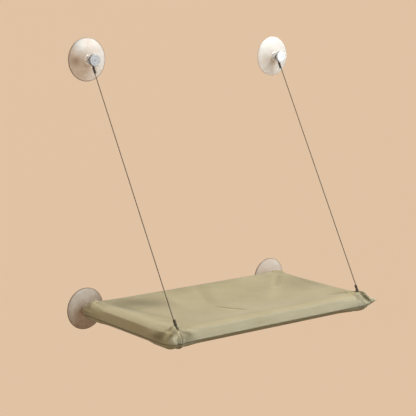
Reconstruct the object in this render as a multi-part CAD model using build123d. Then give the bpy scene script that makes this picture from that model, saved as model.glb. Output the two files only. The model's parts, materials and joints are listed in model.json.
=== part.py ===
from build123d import *
import math
import os

os.makedirs("parts", exist_ok=True)

# Layout. Millimetres. The window glass is the plane Y = 0, the room lies towards -Y,
# and Z = 0 is the level of the rails and of the lower suction cups.
lower_cup_spacing = 495.0
upper_cup_spacing = 485.0
upper_cup_height = 498.0
front_rail_reach = 284.0

# Suction cups, one moulding each.
cup_diameter = 85.0
cup_height = 18.0
cup_lip_width = 7.5
cup_rim_thickness = 1.2
cup_shoulder_diameter = 25.0
cup_shoulder_height = 9.0
cup_vault_height = 5.5
cup_neck_diameter = 18.0
cup_neck_root_height = 9.8
dome_rise_share = 0.56
dome_width_share = 0.62
vault_rise_share = 0.80
vault_width_share = 0.50

# Screws. A stud is moulded into each cup by its round head.
stud_diameter = 6.0
stud_pitch = 1.0
stud_head_diameter = 13.0
stud_head_thickness = 2.0
stud_head_depth = 7.5
running_clearance = 0.05
seat_clearance = 0.1

# Washers, knobs and nuts.
inner_washer_diameter = 16.0
inner_washer_thickness = 1.2
outer_washer_diameter = 10.0
outer_washer_thickness = 1.0
knob_diameter = 24.0
knob_thickness = 6.0
knob_boss_diameter = 9.6
knob_boss_length = 1.5
knob_front_skin = 1.4
knob_edge_radius = 1.6
nut_width = 10.0
nut_thickness = 5.0
fitting_washer_diameter = 12.0
fitting_washer_thickness = 1.2
stud_tail = 1.8

# Frame tubes and their corner fittings.
tube_diameter = 26.7
tube_wall = 2.9
fitting_wall = 3.2
socket_depth = 18.0
socket_stop = 14.5
pocket_depth = 7.0
pocket_clearance = 0.1
web_thickness = 3.0

# Canvas cover, a case of two panels sewn together all round.
cloth_thickness = 0.6
cloth_gap = 0.1
deck_sag = 12.0
panel_inset = 0.4
seam_drop = 5.0
neck_opening_clearance = 0.6
cable_eyelet_diameter = 4.6
cable_eyelet_inset = 20.6
corner_ear_length = 42.0
corner_ear_width = 17.0
corner_ear_thickness = 1.8
ear_tip_share = 0.22
right_ear_turn = 24.0
left_ear_turn = 72.0
right_ear_rise = 2.5
left_ear_rise = -3.5
closure_height = 16.0
closure_thickness = 1.2

# Wire ropes, each one length with a crimped eye at both ends.
cable_diameter = 1.8
cable_guard = 0.3
eye_half_width = 4.5
eye_top = 4.3
eye_bend_radius = 3.9
eye_neck_half_width = 3.2
eye_neck_drop = 7.0
strand_half_gap = 1.0
ferrule_length = 12.0
ferrule_wall = 0.8
ferrule_clearance = 0.05
ferrule_lead = 3.0
upper_ferrule_drop = 14.5
upper_ferrule_reach = 24.0

# Overrun for cuts that pass right through.
overrun = 2.0

half_lower = lower_cup_spacing / 2
half_upper = upper_cup_spacing / 2
cup_radius = cup_diameter / 2
tube_radius = tube_diameter / 2
tube_bore_radius = tube_radius - tube_wall
socket_radius = tube_radius + running_clearance
fitting_radius = socket_radius + fitting_wall
rear_rail_reach = cup_height - pocket_depth + fitting_radius
cloth_inner_radius = fitting_radius + cloth_gap
cloth_outer_radius = cloth_inner_radius + cloth_thickness
cable_radius = cable_diameter / 2

# Stack on an upper stud, measured from the glass.
eye_reach = cup_height + inner_washer_thickness + 2 * seat_clearance + cable_guard + cable_radius
outer_washer_start = eye_reach + cable_radius + cable_guard
outer_washer_end = outer_washer_start + outer_washer_thickness
knob_boss_start = outer_washer_end + seat_clearance
knob_back = knob_boss_start + knob_boss_length
knob_front = knob_back + knob_thickness
upper_stud_end = knob_front - knob_front_skin - seat_clearance

# Stack on a lower stud.
web_inner = cup_height + web_thickness
lower_washer_end = web_inner + fitting_washer_thickness
lower_nut_end = lower_washer_end + nut_thickness
lower_stud_end = lower_nut_end + stud_tail


def save(shape, name):
    """Writes one node."""
    export_step(shape, "parts/" + name + ".step")


def ring_along_y(outer, inner, start, end):
    """A plain ring round the Y axis between two distances from the glass."""
    disc = Circle(outer) - Circle(inner)
    return extrude(Plane.XZ.offset(start) * disc, end - start)


def rod_along_y(radius, start, end):
    """A round bar on the Y axis between two distances from the glass."""
    return extrude(Plane.XZ.offset(start) * Circle(radius), end - start)


def turned(outline):
    """Turns an outline, given in radius and distance from the glass, round the Y axis."""
    return revolve(make_face(outline), Axis.Y, 360)


def suction_cup():
    """Clear vinyl cup with its lip on the glass and a void for the head of its stud."""
    lip_inner = cup_radius - cup_lip_width
    shoulder = cup_shoulder_diameter / 2
    neck = cup_neck_diameter / 2
    hole = stud_diameter / 2 + running_clearance
    head = stud_head_diameter / 2 + running_clearance
    head_top = stud_head_depth + stud_head_thickness + running_clearance
    dome_mid = (
        shoulder + (cup_radius - shoulder) * dome_width_share,
        -cup_shoulder_height * dome_rise_share,
    )
    vault_mid = (lip_inner * vault_width_share, -cup_vault_height * vault_rise_share)
    outline = [
        Line((lip_inner, 0), (cup_radius, 0)),
        Line((cup_radius, 0), (cup_radius, -cup_rim_thickness)),
        ThreePointArc((cup_radius, -cup_rim_thickness), dome_mid, (shoulder, -cup_shoulder_height)),
        Line((shoulder, -cup_shoulder_height), (neck, -cup_neck_root_height)),
        Line((neck, -cup_neck_root_height), (neck, -cup_height)),
        Line((neck, -cup_height), (hole, -cup_height)),
        Line((hole, -cup_height), (hole, -head_top)),
        Line((hole, -head_top), (head, -head_top)),
        Line((head, -head_top), (head, -stud_head_depth + running_clearance)),
        Line((head, -stud_head_depth + running_clearance), (0, -stud_head_depth + running_clearance)),
        Line((0, -stud_head_depth + running_clearance), (0, -cup_vault_height)),
        ThreePointArc((0, -cup_vault_height), vault_mid, (lip_inner, 0)),
    ]
    return turned(outline)


def stud(end):
    """Screw with a round head, from the cup's neck to a given distance from the glass."""
    shank = rod_along_y(stud_diameter / 2, stud_head_depth, end)
    head = rod_along_y(stud_head_diameter / 2, stud_head_depth, stud_head_depth + stud_head_thickness)
    return shank + head


def flat_washer(diameter, start, thickness):
    """Flat washer on a stud."""
    return ring_along_y(diameter / 2, stud_diameter / 2 + running_clearance, start, start + thickness)


def knob():
    """Round thumb knob with a small boss and a blind hole for the stud."""
    body = rod_along_y(knob_diameter / 2, knob_back, knob_front)
    body = fillet(body.edges().filter_by(GeomType.CIRCLE), knob_edge_radius)
    boss = rod_along_y(knob_boss_diameter / 2, knob_boss_start, knob_back + knob_edge_radius)
    hole_end = knob_front - knob_front_skin
    hole = rod_along_y(stud_diameter / 2 + running_clearance, knob_boss_start - overrun, hole_end)
    return body + boss - hole


def hex_nut(start):
    """Hexagon nut on a lower stud."""
    plate = RegularPolygon(nut_width / 2, 6, major_radius=False)
    bar = extrude(Plane.XZ.offset(start) * plate, nut_thickness)
    return bar - rod_along_y(stud_diameter / 2 + running_clearance, start - overrun, start + nut_thickness + overrun)


def rod_between(radius, start, end):
    """A round bar from one point to another."""
    direction = Vector(*end) - Vector(*start)
    place = Plane(origin=start, z_dir=direction)
    return extrude(place * Circle(radius), direction.length)


def rounded_corner(radius, corner, side, inward):
    """Quarter of a ball that closes the outside of a corner between two round bars."""
    start_angle = math.degrees(math.atan2(-inward, side)) - 45
    return Pos(*corner) * Rot(0, 0, start_angle) * Sphere(radius, arc_size3=90, align=None)


def corner_fitting(side, reach, inward, back):
    """Elbow of two sockets whose corner is at the given side and distance from the glass.

    side is -1 for left and 1 for right. inward is 1 where the second tube lies nearer
    the window and -1 where it lies nearer the room. back is how far the hollow runs
    on behind the corner, away from the second tube.
    """
    corner = Vector(side * half_lower, -reach, 0)
    across = Vector(-side, 0, 0)
    along = Vector(0, inward, 0)
    leg = socket_stop + socket_depth
    body = rod_between(fitting_radius, corner, corner + across * leg)
    body += rod_between(fitting_radius, corner, corner + along * leg)
    body += rounded_corner(fitting_radius, corner, side, inward)
    hollow = rod_between(tube_bore_radius, corner, corner + across * leg)
    hollow += rod_between(tube_bore_radius, corner - along * back, corner + along * leg)
    body -= hollow
    for way in (across, along):
        body -= rod_between(socket_radius, corner + way * socket_stop, corner + way * (leg + overrun))
    return body


def rear_fitting(side):
    """Rear corner elbow with a pocket in its back for the lower cup's neck."""
    body = corner_fitting(side, rear_rail_reach, -1, rear_rail_reach - web_inner)
    pocket = rod_along_y(cup_neck_diameter / 2 + pocket_clearance, 0, cup_height)
    hole = rod_along_y(stud_diameter / 2 + running_clearance, 0, web_inner + overrun)
    place = Pos(side * half_lower, 0, 0)
    return body - place * pocket - place * hole


def frame_tube(start, end):
    """Plastic tube between two socket stops."""
    direction = Vector(*end) - Vector(*start)
    place = Plane(origin=start, z_dir=direction)
    return extrude(place * (Circle(tube_radius) - Circle(tube_bore_radius)), direction.length)


def deck_slab(radius, inset):
    """Solid between the panels, with the sagging deck as its top."""
    ends_share = 0.03
    station_shares = (-1.0, -0.5, 0.0, 0.5, 1.0)
    top = radius - inset
    sections = []
    for share in station_shares:
        sag = deck_sag * (1 - (1 - ends_share) * share**2)
        front = -front_rail_reach
        rear = -rear_rail_reach
        middle = (front + rear) / 2
        outline = [
            Line((front, -top), (rear, -top)),
            Line((rear, -top), (rear, top)),
            ThreePointArc((rear, top), (middle, top - sag), (front, top)),
            Line((front, top), (front, -top)),
        ]
        sections.append(Plane.YZ.offset(share * half_lower) * make_face(outline))
    return loft(sections)


def case_solid(radius, inset):
    """The cover as if it were solid, at a given radius round the rails."""
    corners = [
        (-half_lower, -rear_rail_reach, 0),
        (half_lower, -rear_rail_reach, 0),
        (half_lower, -front_rail_reach, 0),
        (-half_lower, -front_rail_reach, 0),
    ]
    body = deck_slab(radius, inset)
    for start, end in zip(corners, corners[1:] + corners[:1]):
        body += rod_between(radius, start, end)
    for x, y, z in corners:
        side = math.copysign(1, x)
        inward = math.copysign(1, -y - (front_rail_reach + rear_rail_reach) / 2)
        body += rounded_corner(radius, Vector(x, y, z), side, inward)
    return body


def corner_ear(side, turn, rise):
    """Point of surplus cloth at a front corner, turned from straight out towards the room."""
    corner = Vector(side * half_lower, -front_rail_reach, 0)
    angle = math.radians(turn)
    way = Vector(side * math.cos(angle), -math.sin(angle), rise / corner_ear_length)
    base = Plane(origin=corner, x_dir=(side * math.sin(angle), math.cos(angle), 0), z_dir=way)
    tip = base.offset(corner_ear_length)
    return loft(
        [
            base * Rectangle(corner_ear_width, corner_ear_thickness * 2),
            tip * Rectangle(corner_ear_width * ear_tip_share, corner_ear_thickness * ear_tip_share),
        ]
    )


def cover_panels():
    """Top and bottom panel of the canvas case."""
    inside = case_solid(cloth_inner_radius, panel_inset)
    case = case_solid(cloth_outer_radius, panel_inset)
    case += corner_ear(-1, left_ear_turn, left_ear_rise)
    case += corner_ear(1, right_ear_turn, right_ear_rise)
    case -= inside
    opening = rod_along_y(cup_neck_diameter / 2 + neck_opening_clearance, 0, rear_rail_reach)
    eyelet = Cylinder(cable_eyelet_diameter / 2, cloth_outer_radius * 4)
    for side in (-1, 1):
        case -= Pos(side * half_lower, 0, 0) * opening
        x = side * (half_lower - cable_eyelet_inset)
        case -= Pos(x, -front_rail_reach + cable_eyelet_inset, 0) * eyelet
    reach = lower_cup_spacing * 2
    lower_half = Pos(0, -front_rail_reach / 2, -seam_drop - reach / 2) * Box(reach, reach, reach)
    return case - lower_half, case & lower_half


def closure_strip(outer):
    """Curved strip of hook or loop tape inside the cover's rear seam."""
    inner = outer - closure_thickness
    length = lower_cup_spacing - 2 * (socket_stop + socket_depth + overrun)
    ring = Plane.YZ * (Circle(outer) - Circle(inner))
    band = extrude(ring, length / 2, both=True)
    keep = Pos(0, outer, -seam_drop) * Box(length + overrun, outer, closure_height)
    return Pos(0, -rear_rail_reach, 0) * (band & keep)


def cable_route(side):
    """Corner points and bend radii of one wire rope, and the two crimped stretches.

    The left loop goes round the front rail beside the corner, and the right one over the corner itself.
    """
    stud_x = side * half_upper
    across = Vector(side * strand_half_gap, 0, 0)
    upper_top = Vector(stud_x, -upper_ferrule_reach, upper_cup_height - upper_ferrule_drop)
    corner = Vector(side * half_lower, -front_rail_reach, 0)

    def at_corner(out, room, up):
        return corner + Vector(side * out, -room, up)

    lower_end = at_corner(-10.0, 3.5, 25.5)
    fall = (lower_end - upper_top).normalized()
    upper_end = upper_top + fall * ferrule_length
    lower_top = lower_end - fall * ferrule_length

    def at_stud(out, up):
        return Vector(stud_x + side * out, -eye_reach, upper_cup_height + up)

    upper_bend = upper_top - fall * ferrule_lead
    lower_bend = lower_end + fall * ferrule_lead
    eye = [
        (upper_end - across, None),
        (upper_bend - across, 5.0),
        (at_stud(-eye_neck_half_width, -eye_neck_drop), 9.0),
        (at_stud(-eye_half_width, eye_top), eye_bend_radius),
        (at_stud(eye_half_width, eye_top), eye_bend_radius),
        (at_stud(eye_neck_half_width, -eye_neck_drop), 9.0),
        (upper_bend + across, 5.0),
    ]
    if side < 0:
        way_round = [
            (at_corner(-10.0, 11.2, 16.7), 9.0),
            (at_corner(-11.0, 19.7, 3.9), 14.0),
            (at_corner(-14.5, 16.7, -11.2), 14.0),
            (at_corner(-17.5, 3.9, -19.9), 14.0),
        ]
    else:
        way_round = [
            (at_corner(5.5, 10.5, 17.5), 9.0),
            (at_corner(15.2, 14.3, 2.5), 9.0),
            (at_corner(10.5, 9.9, -14.4), 9.0),
            (at_corner(-2.0, -2.0, -20.8), 9.0),
        ]
    loop = [
        (lower_bend + across, 5.0),
        *way_round,
        (at_corner(-cable_eyelet_inset, -cable_eyelet_inset, -20.5), 5.0),
        (at_corner(-cable_eyelet_inset, -cable_eyelet_inset, 19.5), 7.0),
        (at_corner(-12.0, 3.6, 19.9), 3.0),
        (lower_bend - across, 3.0),
        (lower_top - across, None),
    ]
    stops = eye + loop
    points = [point for point, radius in stops]
    radii = [radius for point, radius in stops[1:-1]]
    crimps = ((upper_top, upper_end), (lower_top, lower_end))
    return points, radii, crimps


def wire_rope(points, radii):
    """Round rope along straight runs joined by tangent arcs."""
    path = FilletPolyline(*points, radius=radii)
    start = Plane(origin=path @ 0, z_dir=path % 0)
    return sweep(start * Circle(cable_radius), path=path), path.length


def ferrule(top, end):
    """Oval crimped sleeve over two strands that lie side by side."""
    place = Plane(origin=top, x_dir=(1, 0, 0), z_dir=end - top)
    spread = 2 * strand_half_gap
    bore = SlotCenterToCenter(spread, 2 * (cable_radius + ferrule_clearance))
    shell = SlotCenterToCenter(spread, 2 * (cable_radius + ferrule_clearance + ferrule_wall))
    return extrude(place * (shell - bore), (end - top).length)


def build():
    """Makes every node."""
    for side, name in ((-1, "left"), (1, "right")):
        upper = Pos(side * half_upper, 0, upper_cup_height)
        lower = Pos(side * half_lower, 0, 0)
        save(upper * suction_cup(), "upper_" + name + "_cup")
        save(upper * stud(upper_stud_end), "upper_" + name + "_stud")
        inner = flat_washer(inner_washer_diameter, cup_height + seat_clearance, inner_washer_thickness)
        outer = flat_washer(outer_washer_diameter, outer_washer_start, outer_washer_thickness)
        save(upper * inner, name + "_inner_washer")
        save(upper * outer, name + "_outer_washer")
        save(upper * knob(), name + "_knob")
        save(lower * suction_cup(), "lower_" + name + "_cup")
        save(lower * stud(lower_stud_end), "lower_" + name + "_stud")
        save(
            lower * flat_washer(fitting_washer_diameter, web_inner, fitting_washer_thickness),
            "lower_" + name + "_washer",
        )
        save(lower * hex_nut(lower_washer_end), "lower_" + name + "_nut")
        save(rear_fitting(side), "rear_" + name + "_fitting")
        save(corner_fitting(side, front_rail_reach, 1, 0), "front_" + name + "_elbow")
        x = side * half_lower
        save(
            frame_tube((x, -rear_rail_reach - socket_stop, 0), (x, -front_rail_reach + socket_stop, 0)),
            name + "_side_tube",
        )
        points, radii, crimps = cable_route(side)
        rope, length = wire_rope(points, radii)
        save(rope, name + "_cable")
        for (top, end), level in zip(crimps, ("upper", "lower")):
            save(ferrule(top, end), name + "_" + level + "_ferrule")
        section = math.pi * cable_radius**2
        print(name, "cable length", round(length, 1), "radii", radii)
        print(name, "cable volume", round(rope.volume, 1), "section times length", round(section * length, 1))

    for reach, name in ((rear_rail_reach, "rear"), (front_rail_reach, "front")):
        stop = half_lower - socket_stop
        save(frame_tube((-stop, -reach, 0), (stop, -reach, 0)), name + "_tube")

    top_panel, bottom_panel = cover_panels()
    save(top_panel, "cover_top_panel")
    save(bottom_panel, "cover_bottom_panel")
    save(closure_strip(cloth_inner_radius - cloth_gap), "closure_loop_strip")
    save(closure_strip(cloth_inner_radius - 2 * cloth_gap - closure_thickness), "closure_hook_strip")


build()
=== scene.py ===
# %% [markdown]
# # A window mounted perch
# The perch hangs on a window by four suction cups. Its frame of plastic pipe is
# hidden in a sewn canvas case, and two wire ropes hold up the front corners.
# This first cell loads the solid model.

# %% Load the solid model
import json
import math
import bpy
import bmesh
import numpy as np
from mathutils import Matrix, Vector


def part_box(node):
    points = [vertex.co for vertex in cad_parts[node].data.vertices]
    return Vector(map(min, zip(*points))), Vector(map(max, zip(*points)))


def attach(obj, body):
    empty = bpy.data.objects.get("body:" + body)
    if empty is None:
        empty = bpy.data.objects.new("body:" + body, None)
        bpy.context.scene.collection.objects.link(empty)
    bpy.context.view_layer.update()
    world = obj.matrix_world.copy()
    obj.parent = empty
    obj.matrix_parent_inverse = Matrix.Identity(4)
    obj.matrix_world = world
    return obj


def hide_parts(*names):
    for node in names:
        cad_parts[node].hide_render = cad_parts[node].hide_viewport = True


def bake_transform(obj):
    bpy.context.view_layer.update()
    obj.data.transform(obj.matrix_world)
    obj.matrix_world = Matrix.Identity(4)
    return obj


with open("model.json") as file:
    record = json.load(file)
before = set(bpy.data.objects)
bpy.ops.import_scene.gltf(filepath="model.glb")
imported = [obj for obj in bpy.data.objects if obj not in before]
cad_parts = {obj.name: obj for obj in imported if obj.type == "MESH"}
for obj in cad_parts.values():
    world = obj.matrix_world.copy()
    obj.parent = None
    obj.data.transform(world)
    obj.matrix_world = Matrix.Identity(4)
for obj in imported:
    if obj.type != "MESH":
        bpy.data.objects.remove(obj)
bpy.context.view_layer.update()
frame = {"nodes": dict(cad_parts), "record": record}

# %% [markdown]
# The window glass is the plane y = 0 and the room lies towards -y. The camera
# stood to the left of the perch, a little above it, and looked down at it. Its
# place was worked out from the four cups, whose spacing is known, so it is
# written here as a position and three angles instead of being aimed by eye.

# %% Place the camera
CAMERA_PLACE = Vector((-1.519055, -1.953421, 0.601856))
CAMERA_TURN = 0.68216
CAMERA_DIP = -0.16796
CAMERA_ROLL = 0.01488
FOCAL_PIXELS = 1183.867
IMAGE_PIXELS = 416
SENSOR_WIDTH = 36.0

heading = Vector((math.sin(CAMERA_TURN), math.cos(CAMERA_TURN), 0))
ahead = heading * math.cos(CAMERA_DIP) + Vector((0, 0, math.sin(CAMERA_DIP)))
level = Vector((math.cos(CAMERA_TURN), -math.sin(CAMERA_TURN), 0))
upright = level.cross(ahead)
right = level * math.cos(CAMERA_ROLL) + upright * math.sin(CAMERA_ROLL)
up = upright * math.cos(CAMERA_ROLL) - level * math.sin(CAMERA_ROLL)

camera_data = bpy.data.cameras.new("camera")
camera_data.sensor_fit = "HORIZONTAL"
camera_data.sensor_width = SENSOR_WIDTH
camera_data.lens = FOCAL_PIXELS / IMAGE_PIXELS * SENSOR_WIDTH
camera = bpy.data.objects.new("camera", camera_data)
bpy.context.collection.objects.link(camera)
turned = Matrix((right, up, -ahead)).transposed().to_4x4()
camera.matrix_world = Matrix.Translation(CAMERA_PLACE) @ turned
bpy.context.scene.camera = camera
print("lens", round(camera_data.lens, 2))

# %% [markdown]
# Each wire rope is one length: an eye round the upper screw, a crimp, the long
# straight span, a second crimp, and a loop round the front corner of the frame.
# A smooth spline through listed points is the natural way to draw it. The
# points are those of the solid model, so the rope lies where its solid lies.

# %% Points of the rope's route
HALF_LOWER = 0.2475
HALF_UPPER = 0.2425
UPPER_HEIGHT = 0.498
FRONT_REACH = 0.284
REAR_REACH = 0.0276
ROPE_DIAMETER = 0.0018
CRIMP_LENGTH = 0.012
BEND_LENGTH = 0.003
SPAN_MARGIN = 0.011
EYE_REACH = 0.0206
UPPER_CRIMP_REACH = 0.024
UPPER_CRIMP_DROP = 0.0145
LOWER_CRIMP_END = (-0.010, 0.0035, 0.0255)
HALF_STRAND_GAP = 0.001
ROUND_SCREW = ((-0.0032, -0.007), (-0.0045, 0.0043), (0.0045, 0.0043), (0.0032, -0.007))
ROUND_CORNER = {
    -1: (
        (-0.0100, 0.0112, 0.0167),
        (-0.0110, 0.0197, 0.0039),
        (-0.0145, 0.0167, -0.0112),
        (-0.0175, 0.0039, -0.0199),
    ),
    1: (
        (0.0055, 0.0105, 0.0175),
        (0.0152, 0.0143, 0.0025),
        (0.0105, 0.0099, -0.0144),
        (-0.0020, -0.0020, -0.0208),
    ),
}
THROUGH_CASE = (
    (-0.0206, -0.0206, -0.0205),
    (-0.0206, -0.0206, 0.0195),
    (-0.0120, 0.0036, 0.0199),
)


def rope_route(side):
    """Control points of one rope's spline, and the ends of its straight span.
    They run from the end in the upper crimp to the end in the lower one."""
    stud_x = side * HALF_UPPER
    across = Vector((side * HALF_STRAND_GAP, 0, 0))
    upper_top = Vector((stud_x, -UPPER_CRIMP_REACH, UPPER_HEIGHT - UPPER_CRIMP_DROP))

    def corner(out, room, up):
        return Vector((side * (HALF_LOWER + out), -FRONT_REACH - room, up))

    def screw(out, up):
        return Vector((stud_x + side * out, -EYE_REACH, UPPER_HEIGHT + up))

    lower_end = corner(*LOWER_CRIMP_END)
    fall = (lower_end - upper_top).normalized()
    upper_end = upper_top + fall * CRIMP_LENGTH
    lower_top = lower_end - fall * CRIMP_LENGTH
    upper_bend = upper_top - fall * BEND_LENGTH
    lower_bend = lower_end + fall * BEND_LENGTH
    to_eye = [upper_end - across, upper_top - across, upper_bend - across]
    eye = [screw(*place) for place in ROUND_SCREW]
    down = [
        upper_bend + across,
        upper_top + across,
        upper_end + across,
        upper_end + fall * SPAN_MARGIN + across,
        lower_top - fall * SPAN_MARGIN + across,
        lower_top + across,
        lower_end + across,
        lower_bend + across,
    ]
    loop = [corner(*place) for place in ROUND_CORNER[side] + THROUGH_CASE]
    back = [lower_bend - across, lower_end - across, lower_top - across]
    return to_eye + eye + down + loop + back, upper_end, lower_top


# %% [markdown]
# A NURBS spline of order 3 bends smoothly inside its points. The order has to be
# set after the points exist, or it stays at straight runs. The spline alone is a
# line, so it is read as a chain of points and a round skin is wrapped on it.

# %% Read the smooth line and wrap it in a skin
def new_object(name, mesh):
    """Object in the scene, made of a finished bmesh."""
    data = bpy.data.meshes.new(name)
    mesh.to_mesh(data)
    mesh.free()
    made = bpy.data.objects.new(name, data)
    bpy.context.collection.objects.link(made)
    return made


def smooth_line(points, name):
    """Points along the NURBS spline that has these control points."""
    data = bpy.data.curves.new(name, "CURVE")
    data.dimensions = "3D"
    spline = data.splines.new("NURBS")
    spline.points.add(len(points) - 1)
    for slot, point in zip(spline.points, points):
        slot.co = (*point, 1.0)
    spline.order_u = 3
    spline.use_endpoint_u = True
    spline.resolution_u = 8
    line_object = bpy.data.objects.new(name, data)
    mesh = bpy.data.meshes.new_from_object(line_object)
    line = [vertex.co.copy() for vertex in mesh.vertices]
    bpy.data.objects.remove(line_object)
    bpy.data.curves.remove(data)
    bpy.data.meshes.remove(mesh)
    return line


def tube_along(line, radius, sides, name):
    """Closed round tube along a chain of points, with a UV map that runs along it."""
    mesh = bmesh.new()
    uv = mesh.loops.layers.uv.new("along")
    neighbours = zip(line[:1] + line, line[1:] + line[-1:])
    tangents = [(after - before).normalized() for before, after in neighbours]
    normal = tangents[0].orthogonal().normalized()
    rings = []
    travelled = [0.0]
    for index, point in enumerate(line):
        if index:
            turn = tangents[index - 1].rotation_difference(tangents[index])
            normal = (turn @ normal).normalized()
            travelled.append(travelled[-1] + (point - line[index - 1]).length)
        side = tangents[index].cross(normal)
        ring = []
        for step in range(sides):
            angle = 2 * math.pi * step / sides
            way = normal * math.cos(angle) + side * math.sin(angle)
            ring.append(mesh.verts.new(point + way * radius))
        rings.append(ring)
    for index in range(len(rings) - 1):
        for step in range(sides):
            corners = ((step, index), (step + 1, index), (step + 1, index + 1), (step, index + 1))
            face = mesh.faces.new([rings[along][around % sides] for around, along in corners])
            for loop, (around, along) in zip(face.loops, corners):
                loop[uv].uv = (around / sides, travelled[along] / radius)
            face.smooth = True
    mesh.faces.new(list(reversed(rings[0])))
    mesh.faces.new(rings[-1])
    bmesh.ops.recalc_face_normals(mesh, faces=mesh.faces)
    print(name, "runs", round(travelled[-1], 4), "m")
    return new_object(name, mesh)


# %% [markdown]
# The long span is pulled dead straight by the weight of the shelf. Its middle
# needs no points: with none there, it also stays straight when the shelf lifts.

# %% Make the two wire ropes
KEPT_AT_ENDS = 0.012
ROPE_SIDES = 10

ropes = {}
rope_lines = {}
for side, name in ((-1, "left"), (1, "right")):
    control, span_start, span_end = rope_route(side)
    line = smooth_line(control, name + "_rope_line")
    slope = (span_end - span_start).normalized()
    span = (span_end - span_start).length
    kept = [
        point for point in line
        if not KEPT_AT_ENDS < (point - span_start).dot(slope) < span - KEPT_AT_ENDS
    ]
    rope = tube_along(kept, ROPE_DIAMETER / 2, ROPE_SIDES, name + "_wire_rope")
    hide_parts(name + "_cable")
    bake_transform(rope)
    ropes[name] = rope
    rope_lines[name] = kept

# %% [markdown]
# The case is two panels of canvas, sewn together all round. Each point of a
# panel has two places. The cut place is flat on the sewing table, and the worn
# place is on the frame, over the rail and down to the seam. The tip of each
# corner has surplus cloth. It stands out as an ear at the front, and at the
# back it is drawn in round the neck of the suction cup.

# %% Measure the two panels
RAIL = 0.0173
SEAM_DROP = 0.0050
DECK_SAG = 0.0120
PANEL_STEP = 0.0090
WRAP_MARKS = 8
SEAM_RIDGE = 0.0010
SEAM_RIDGE_ANGLE = 0.35
RIDGE_MARK = 3
FLATNESS = 0.85
FLAT_BAND_START = 0.034
FLAT_BAND_FULL = 0.070
NECK_DEPTH = 0.0125
NECK_RING = 0.0108
EAR_PULL = 0.9
NECK_PULL = 1.2
TOP_CUT = (1.001, 1.0045)
UNDER_CUT = (0.995, 0.99)
MIDDLE_Y = -(FRONT_REACH + REAR_REACH) / 2
HALF_DEEP = (FRONT_REACH - REAR_REACH) / 2
SEAM_ANGLE = math.pi / 2 + math.asin(SEAM_DROP / RAIL)
TOP_WRAP = RAIL * SEAM_ANGLE
UNDER_WRAP = RAIL * (math.pi - SEAM_ANGLE)
RIDGE_ANGLE = RIDGE_MARK * TOP_WRAP / WRAP_MARKS / RAIL
EAR_TIPS = {
    -1: Vector((-HALF_LOWER - 0.006, -FRONT_REACH - 0.033, -0.002)),
    1: Vector((HALF_LOWER + 0.039, -FRONT_REACH - 0.018, 0.0025)),
}


def smooth_step(value, start, end):
    """Rises smoothly from 0 at the start to 1 at the end, for a number or an array."""
    share = np.clip((value - start) / (end - start), 0, 1)
    return share * share * (3 - 2 * share)


def hump(distance, width):
    """Falls smoothly from 1 to nearly 0 at about two widths."""
    return np.exp(-((distance / width) ** 2))


def band_radius(angle, from_corner):
    """Distance of the cloth from the rail's axis.
    Away from the corners the cloth spans flat between its folds."""
    folds = (0.0, RIDGE_ANGLE, SEAM_ANGLE, math.pi)
    for start, end in zip(folds, folds[1:]):
        if start <= angle <= end:
            break
    flat = RAIL * math.cos((end - start) / 2) / math.cos(angle - (start + end) / 2)
    flatness = FLATNESS * smooth_step(from_corner, FLAT_BAND_START, FLAT_BAND_FULL)
    seam = SEAM_RIDGE * math.exp(-abs(angle - SEAM_ANGLE) / SEAM_RIDGE_ANGLE)
    return RAIL + (flat - RAIL) * flatness + seam


def worn_place(p, q, wrap, top):
    """Where a point of a panel lies on the frame. It is p and q from the panel's middle."""
    side_x = math.copysign(1, p)
    side_y = math.copysign(1, q)
    over_x = max(abs(p) - HALF_LOWER, 0.0)
    over_y = max(abs(q) - HALF_DEEP, 0.0)
    x = side_x * min(abs(p), HALF_LOWER)
    y = side_y * min(abs(q), HALF_DEEP)
    over = max(over_x, over_y)
    if over > 0:
        length = math.hypot(over_x, over_y)
        angle = over / RAIL
        from_corner = max(HALF_LOWER - abs(p), HALF_DEEP - abs(q), 0.0)
        radius = band_radius(angle if top else math.pi - angle, from_corner)
        x += side_x * over_x / length * radius * math.sin(angle)
        y += side_y * over_y / length * radius * math.sin(angle)
        z = radius * math.cos(angle)
    else:
        sag = (1 - (p / HALF_LOWER) ** 2) * (1 - (q / HALF_DEEP) ** 2)
        z = RAIL - (DECK_SAG * sag if top else 0.0)
    place = Vector((x, MIDDLE_Y + y, z if top else -z))
    pinch = min(over_x, over_y) / wrap
    if pinch > 0 and side_y < 0:
        place = place.lerp(EAR_TIPS[side_x], pinch ** EAR_PULL)
    elif pinch > 0:
        neck = Vector((side_x * HALF_LOWER, -NECK_DEPTH, 0))
        around = Vector((place.x - neck.x, 0, place.z))
        place = place.lerp(neck + around.normalized() * NECK_RING, pinch ** NECK_PULL)
    return place


def cut_place(p, q, wrap, top):
    """Where the same point lies on the table. The top is cut a little long, so it sags,
    and the underside a little short, so it stays taut."""
    if top:
        return Vector((p * TOP_CUT[0], q * TOP_CUT[1], 0))
    surplus = min(max(abs(p) - HALF_LOWER, 0.0), max(abs(q) - HALF_DEEP, 0.0)) / wrap
    surplus *= TOP_WRAP - UNDER_WRAP
    x, y = p * UNDER_CUT[0], q * UNDER_CUT[1]
    return Vector((x + math.copysign(surplus, p), y + math.copysign(surplus, q), 0))


def panel_marks(half, wrap):
    """Marks across a panel: even ones between the rails, and closer ones round each rail."""
    count = round(half / PANEL_STEP)
    right = [half * step / count for step in range(count)]
    right += [half + wrap * step / WRAP_MARKS for step in range(WRAP_MARKS + 1)]
    return [-mark for mark in reversed(right[1:])] + right


cut_size = (2 * (HALF_LOWER + TOP_WRAP), 2 * (HALF_DEEP + TOP_WRAP))
print("cut size of the top panel", [round(length, 4) for length in cut_size])

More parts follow.
